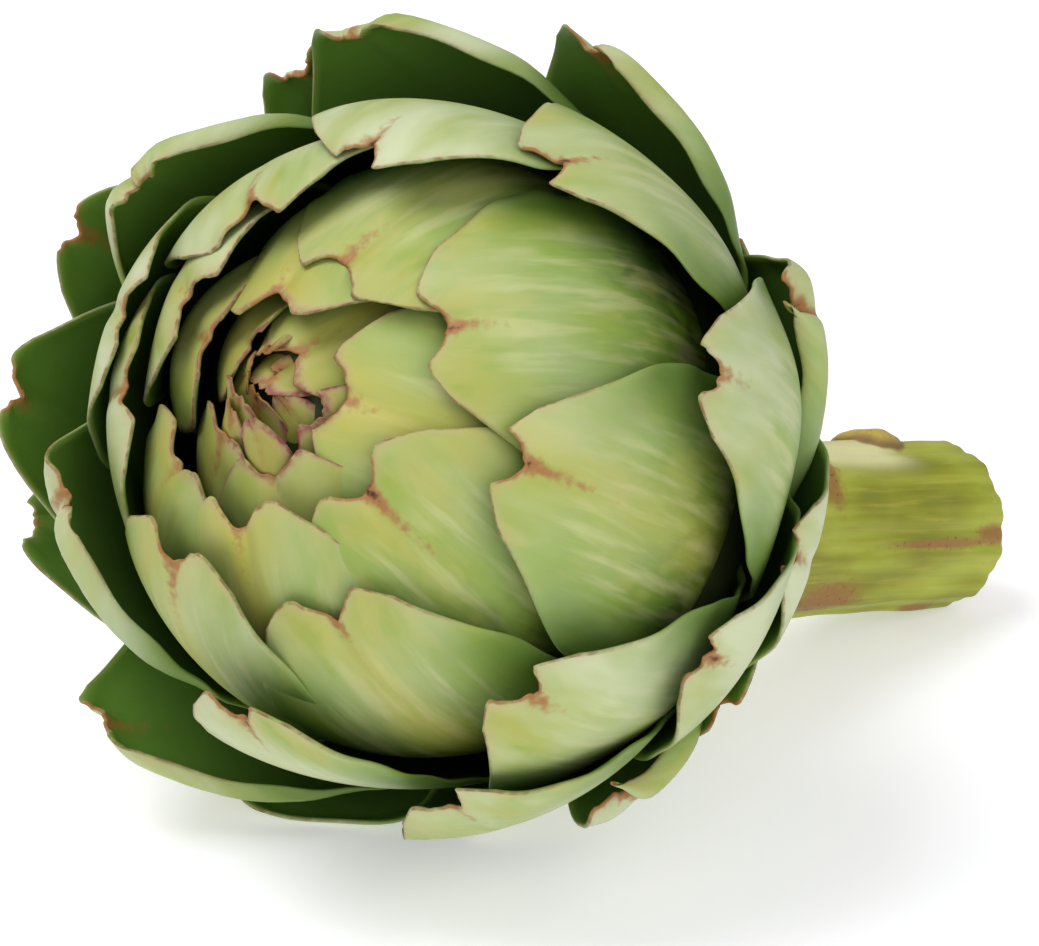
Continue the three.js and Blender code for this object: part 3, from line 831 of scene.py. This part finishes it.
def bract_piece(name, first, last):
    """One piece holding the bracts from `first` to `last`, grown by the spiral tree."""
    chosen = [b for b in BRACTS if first <= b.n <= last]
    blades = bpy.data.collections.new(name + "_blades")
    bpy.context.scene.collection.children.link(blades)
    for b in chosen:
        mesh, paint = blade_mesh(b)
        blades.objects.link(bpy.data.objects.new(mesh.name, mark(b, mesh, paint)))
    seeds = bpy.data.meshes.new(name)
    seeds.from_pydata([(0, 0, 0)] * len(chosen), [], [])
    for key, values in (("number", [b.n for b in chosen]), ("stray_turn", [b.stray_turn for b in chosen])):
        seeds.attributes.new(key, "FLOAT", "POINT").data.foreach_set("value", values)
    piece = bpy.data.objects.new(name, seeds)
    bpy.context.scene.collection.objects.link(piece)
    hang(piece, SPIRAL, {
        "Blades": blades, "Golden Angle": GOLDEN_ANGLE, "First Turn": FIRST_TURN,
        "Crowding": CROWDING, "Crowded Side": CROWDED_SIDE, "Crowding Shift": CROWDING_SHIFT,
        "Tilt": HEAD_TILT, "Base": tuple(HEAD_BASE * MM), "Skin": SKIN,
    })
    set_plain(piece)
    for blade in list(blades.objects):
        bpy.data.objects.remove(blade)
    bpy.data.collections.remove(blades)
    pressed(piece.data)
    return piece


for name, first, last in GROUPS:
    piece = bract_piece(name, first, last)
    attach(piece, "root")
    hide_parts("bract_head")
    print(name, "triangles:", triangles(piece), "materials:", len(piece.data.materials))

# %% [markdown]
# ## The heart
#
# Between the roots of the bracts the flesh of the heart shows here and there as a dark floor of painted
# shade.
# It is the barrel again, drawn in by a few millimetres and spun round the bud's axis.

# %% Closed shapes from rings
def ringed(name, rings, ends, material):
    """A closed mesh from rings of points, rows by sides, and the two points that close its ends."""
    rows, sides, _ = rings.shape
    here = np.arange(sides)
    there = np.roll(here, -1)
    band = np.stack([here, there, there + sides, here + sides], -1)
    first_end, last_end, last_ring = rows * sides, rows * sides + 1, (rows - 1) * sides
    faces = [quad for k in range(rows - 1) for quad in (band + k * sides).tolist()]
    faces += [(first_end, t, h) for h, t in zip(here.tolist(), there.tolist())]
    faces += [(last_end, h + last_ring, t + last_ring) for h, t in zip(here.tolist(), there.tolist())]
    mesh = bpy.data.meshes.new(name)
    points = np.concatenate([rings.reshape(-1, 3), ends])
    mesh.from_pydata((points * MM).tolist(), [], faces, shade_flat=False)
    mesh.materials.append(material)
    return mesh


def placed(mesh, place, lean):
    """Leans a mesh made upright about X, puts it in place, and rests it on the table."""
    mesh.transform(Matrix.Translation(Vector(place * MM)) @ Matrix.Rotation(math.radians(lean), 4, "X"))
    pressed(mesh)
    piece = bpy.data.objects.new(mesh.name, mesh)
    bpy.context.scene.collection.objects.link(piece)
    return piece


def heart_flesh():
    """Green flesh between the roots, painted dark for the deep shade it lies in."""
    material, tree = new_material("heart_flesh")
    place = add(tree, "ShaderNodeTexCoord", out="Object")
    noise = add(tree, "ShaderNodeTexNoise", {"Vector": place, "Scale": 1 / (4 * MM), "Detail": 3.0})
    # Painted shade: near-black greens for the deep shade between the roots.
    flesh = add(tree, "ShaderNodeMix", {MIX_FACTOR: noise, MIX_A: colour("#1f260d"),
                                        MIX_B: colour("#38481a")}, out=MIX_COLOUR, data_type="RGBA")
    shader = add(tree, "ShaderNodeBsdfPrincipled", {"Base Color": flesh, "Roughness": 0.7})
    add(tree, "ShaderNodeOutputMaterial", {"Surface": shader})
    return material


# %% Heart
distance = np.linspace(0.5, OUTLINE_LENGTH - 0.5, 48)
height, radius, down = barrel_at(distance)
depth = 5.5 + 8.5 * smooth(3, 30, distance) - 5.5 * smooth(85, 125, distance)
radius += down[0] * depth
height -= down[1] * depth
turn = 2 * np.pi * np.arange(96) / 96
heart_rings = np.stack([np.outer(radius, np.sin(turn)), np.outer(radius, np.cos(turn)),
                        np.outer(height, np.ones(96))], -1)[1:-1]
heart_ends = [[0, 0, height[0]], [0, 0, height[-1]]]
heart = placed(ringed("heart", heart_rings, heart_ends, heart_flesh()), HEAD_BASE, 90 - HEAD_TILT)
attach(heart, "root")
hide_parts("bract_head")
print("heart triangles:", triangles(heart))

# %% [markdown]
# ## The stem
#
# The stem is a thick stalk with shallow ribs that wind round it very slowly. Near its cut end
# sits the low, ragged scar of a leaf that was trimmed off. The rings below run from inside the
# head out to the cut, then inwards over the cut face, and every point remembers where it is
# on the stalk, so that the paint can be laid along the fibres.

# %% Stem shape
STEM_RADIUS = 15.0
STEM_LENGTH = 82.0       # from the head's base to the cut
STEM_DROP = 16.2         # degrees that it points down
STEM_SINK = 1.2          # how far its middle line starts below the head's
STEM_SEAT = 5.0          # how far it runs into the head
STEM_RIBS = 11
RIB_HEIGHT = 0.32
RIB_WINDING = 0.0011     # radians of turn for each mm along the stalk
FLARE, FLARE_REACH = 1.2, 9.0   # mm that the stalk swells at the head, and over what length
SCAR_AT, SCAR_TURN = 60.0, math.radians(-16)
SCAR_LENGTH, SCAR_WIDTH, SCAR_RISE = 15.0, 11.0, 2.6
STEM_SIDES = 264


def scar_distance(station, turn):
    """0 in the middle of the leaf scar, 1 on its edge."""
    along = (station - SCAR_AT) / (SCAR_LENGTH / 2)
    around = (turn - SCAR_TURN) * STEM_RADIUS / (SCAR_WIDTH / 2)
    torn = 0.07 * np.sin(3 * np.arctan2(around, along) + 1) + 0.05 * np.sin(9 * along + 7 * around)
    return np.hypot(along, around) * (1 + torn)


def stem_radius(station, turn):
    """From the stalk's middle line to its skin; turn 0 is its upper side."""
    flare = FLARE * np.exp(-np.maximum(station, 0) / FLARE_REACH)
    winding = turn + RIB_WINDING * station
    rib = RIB_HEIGHT * np.cos(STEM_RIBS * winding)
    rib += 0.12 * np.cos(29 * winding + 1) + 0.2 * np.cos(3 * winding)
    oval = 0.4 * np.sin(2 * turn)
    lumps = 0.15 * np.sin(station / 6 + 3 * turn) + 0.1 * np.sin(station / 2.7 - 2 * turn)
    worn = 1.1 * smooth(STEM_LENGTH - 2.5, STEM_LENGTH, station) ** 2
    dome = SCAR_RISE * np.clip(1 - scar_distance(station, turn) ** 2, 0, 1) ** 0.7
    return STEM_RADIUS + flare + rib + oval + lumps - worn + dome


stations = np.concatenate([np.linspace(-STEM_SEAT, 44, 50), np.linspace(44.5, STEM_LENGTH - 2.5, 68),
                           STEM_LENGTH - np.array([2.0, 1.5, 1.0, 0.6, 0.3, 0.1])])
face_shares = np.array([0.985, 0.95, 0.88, 0.78, 0.66, 0.52, 0.36, 0.18])
turn, station = np.meshgrid(np.linspace(-np.pi, np.pi, STEM_SIDES, endpoint=False), stations)
radius = stem_radius(station, turn)
face_turn, share = np.meshgrid(turn[0], face_shares)
face_radius = share * radius[-1]
sawn = STEM_LENGTH - 0.35 - 0.25 * np.cos(9 * share + 2 * face_turn) * share
turn = np.concatenate([turn, face_turn])
radius = np.concatenate([radius, face_radius])
station = np.concatenate([station, sawn])
stem_rings = np.stack([radius * np.sin(turn), -radius * np.cos(turn), station], -1)
stem_ends = np.array([[0, 0, -STEM_SEAT], [0, 0, STEM_LENGTH - 0.4]])
print("stem rings:", stem_rings.shape)

# %% [markdown]
# ## The skin of the stem
#
# Long fibres run down the stalk in bands of green and yellow, with a painted highlight along its upper side.
# Where leaf bases and rough handling rubbed it, the skin has dried to rust brown: each mark is
# written down as a place on the stalk with a size. The cut face shows pale pith inside a ring
# of dark vein ends.

# %% Stem marks
# Rusty marks: turn in degrees, place along the stalk, half length and half width in mm. Places
# of the marks in view were worked out by a separate program and rounded.
RUSTY = (
    (36, 35, 3.0, 7.0), (128, 38, 9.0, 5.0), (79, 78, 5.0, 2.0), (84, 64, 15.0, 0.9),
    (150, 70, 5.0, 2.5), (-60, 50, 6.0, 2.0), (-120, 66, 8.0, 2.5), (-95, 30, 3.0, 5.0),
)
TOP_HIGHLIGHT_TURN = math.radians(12)     # the middle of the painted highlight along the upper side


def stem_marks():
    """Where each point lies on the stalk, how rusty, scarred or freshly cut it is there, and where a
    highlight is painted along its top.
    """
    rusty = np.zeros_like(station)
    for turned, at, long, wide in RUSTY:
        along = (station - at) / long
        around = (turn - math.radians(turned)) * STEM_RADIUS / wide
        rusty = np.maximum(rusty, np.exp(-(along ** 2 + around ** 2) ** 1.5))
    sawn_rows = np.arange(len(station)) >= len(stations)
    cut = np.repeat(sawn_rows[:, None], STEM_SIDES, 1) * 1.0
    distance = np.where(cut > 0, 9, scar_distance(station, turn))
    # Painted highlight: a light strip along the top of the stalk, where the light falls on it, fading out
    # towards the leaf scar.
    upper = np.exp(-((turn - TOP_HIGHLIGHT_TURN) / 0.33) ** 4) * (1 - smooth(54, 66, station)) * (1 - cut)
    return dict(rusty=rusty * (1 - cut), scar=distance, cut=cut, upper=upper)


STALK_COLOURS = ((0.55, "#70761a"), (0.66, "#86881f"), (0.76, "#939a2b"), (0.87, "#a2a93b"),
                 (0.97, "#a08f3a"))


def stem_skin():
    """Ribbed green stalk skin: satin, yellowing, with rust-brown marks, a painted highlight along its top and
    a matt cut face.
    """
    material, tree = new_material("stalk_skin")
    place = add(tree, "ShaderNodeAttribute", out="Vector", attribute_name="stalk_mm")
    rusty, scar, cut, upper = (
        add(tree, "ShaderNodeAttribute", out="Fac", attribute_name=name)
        for name in ("rusty", "scar", "cut", "upper"))

    # Patches 14 mm across, bands 4 mm and fibres 1.1 mm apart drawn out along the stalk, and
    # specks of 1 mm.
    long_way = add(tree, "ShaderNodeMapping", {"Vector": place, "Scale": (1, 1, 0.4)})
    fibre_way = add(tree, "ShaderNodeMapping", {"Vector": place, "Scale": (1, 1, 0.06)})
    patches, bands, fibres, specks = (
        add(tree, "ShaderNodeTexNoise", {"Vector": way, "Scale": 1 / size, "Detail": detail})
        for way, size, detail in (
            (long_way, 14, 3.0), (fibre_way, 4, 2.0), (fibre_way, 1.1, 3.0), (place, 1, 4.0)))

    mixed = add(tree, "ShaderNodeMath", {0: bands, 1: 0.5, 2: patches}, operation="MULTIPLY_ADD")
    skin = ramped(tree, mixed, STALK_COLOURS, 1.0)
    # Masks: what each reads, where it starts, where it is full and how strong it gets.
    mask = SimpleNamespace(**{
        name: add(tree, "ShaderNodeMapRange", {"Value": value, "From Min": start, "From Max": full,
                                               "To Max": most})
        for name, value, start, full, most in (
            ("pale", fibres, 0.52, 0.75, 0.45), ("dark", specks, 0.62, 0.72, 1.0),
            ("callus", scar, 0.95, 0.75, 1.0), ("worn", specks, 0.5, 0.65, 0.6),
            ("lip", scar, 1.2, 1.0, 0.8), ("dried", patches, 0.4, 0.7, 0.6))})
    # Painted highlight along the top of the stalk.
    painted_highlight = add(tree, "ShaderNodeMath", {0: upper, 1: 0.9}, operation="MULTIPLY")
    rust = add(tree, "ShaderNodeMath", {0: specks, 1: rusty}, operation="ADD")
    rust = add(tree, "ShaderNodeMapRange", {"Value": rust, "From Min": 0.55, "From Max": 1.45,
                                            "To Max": 0.9}, interpolation_type="SMOOTHSTEP")
    dark = add(tree, "ShaderNodeMath", {0: mask.dark, 1: rust}, operation="MULTIPLY")
    worn = add(tree, "ShaderNodeMath", {0: mask.worn, 1: mask.callus}, operation="MULTIPLY")
    skin = layered(tree, skin, (
        (mask.pale, "#b3ab45"), (painted_highlight, "#d8d3a0"), (rust, "#8f6230"), (dark, "#5d3a1e"),
        (mask.lip, "#6e4426"), (mask.callus, "#b79f4a"), (worn, "#8f7436")))

    # The cut face: pith, a ring of vein ends 1 mm apart between 10 and 13 mm out, dried brown.
    across = add(tree, "ShaderNodeVectorMath", {0: place, 1: (1, 1, 0)}, operation="MULTIPLY")
    out_from_middle = add(tree, "ShaderNodeVectorMath", {0: across}, out="Value", operation="LENGTH")
    ring = add(tree, "ShaderNodeMath", {0: out_from_middle, 1: 11.6, 2: 1.6}, operation="COMPARE")
    veins = add(tree, "ShaderNodeTexVoronoi", {"Vector": across, "Scale": 1 / 2.2})
    veins = add(tree, "ShaderNodeMapRange", {"Value": veins, "From Min": 0.28, "From Max": 0.16})
    veins = add(tree, "ShaderNodeMath", {0: veins, 1: ring}, operation="MULTIPLY")
    pith = layered(tree, colour("#c9c08a"), (
        (mask.dried, "#a98f55"), (ring, "#b9b56a"), (veins, "#6f5a2c")))
    skin = add(tree, "ShaderNodeMix", {MIX_FACTOR: cut, MIX_A: skin, MIX_B: pith},
               out=MIX_COLOUR, data_type="RGBA")

    bump = add(tree, "ShaderNodeBump", {"Height": fibres, "Strength": 0.6, "Distance": 0.25 * MM})
    shader = add(tree, "ShaderNodeBsdfPrincipled", {
        "Base Color": skin, "Roughness": 0.52, "IOR": 1.45, "Normal": bump,
        "Specular IOR Level": 0.35,
    })
    add(tree, "ShaderNodeOutputMaterial", {"Surface": shader})
    return material


# %% Stem
stem_mesh = ringed("stem_stalk", stem_rings, stem_ends, stem_skin())
end_marks = dict(rusty=(0, 0), scar=(9, 9), cut=(0, 1), upper=(0, 0))
for name, values in stem_marks().items():
    values = np.concatenate([values.ravel(), end_marks[name]]).astype(np.float32)
    stem_mesh.attributes.new(name, "FLOAT", "POINT").data.foreach_set("value", values)
stalk_place = np.concatenate([stem_rings.reshape(-1, 3), stem_ends]).astype(np.float32)
stem_mesh.attributes.new("stalk_mm", "FLOAT_VECTOR", "POINT").data.foreach_set("vector", stalk_place.ravel())
stem_drop = math.radians(STEM_DROP)
stem_start = HEAD_BASE - STEM_SINK * np.array([0, math.sin(stem_drop), math.cos(stem_drop)])
stem = placed(stem_mesh, stem_start, -(90 + STEM_DROP))
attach(stem, "root")
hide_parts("stem")
print("stem triangles:", triangles(stem))
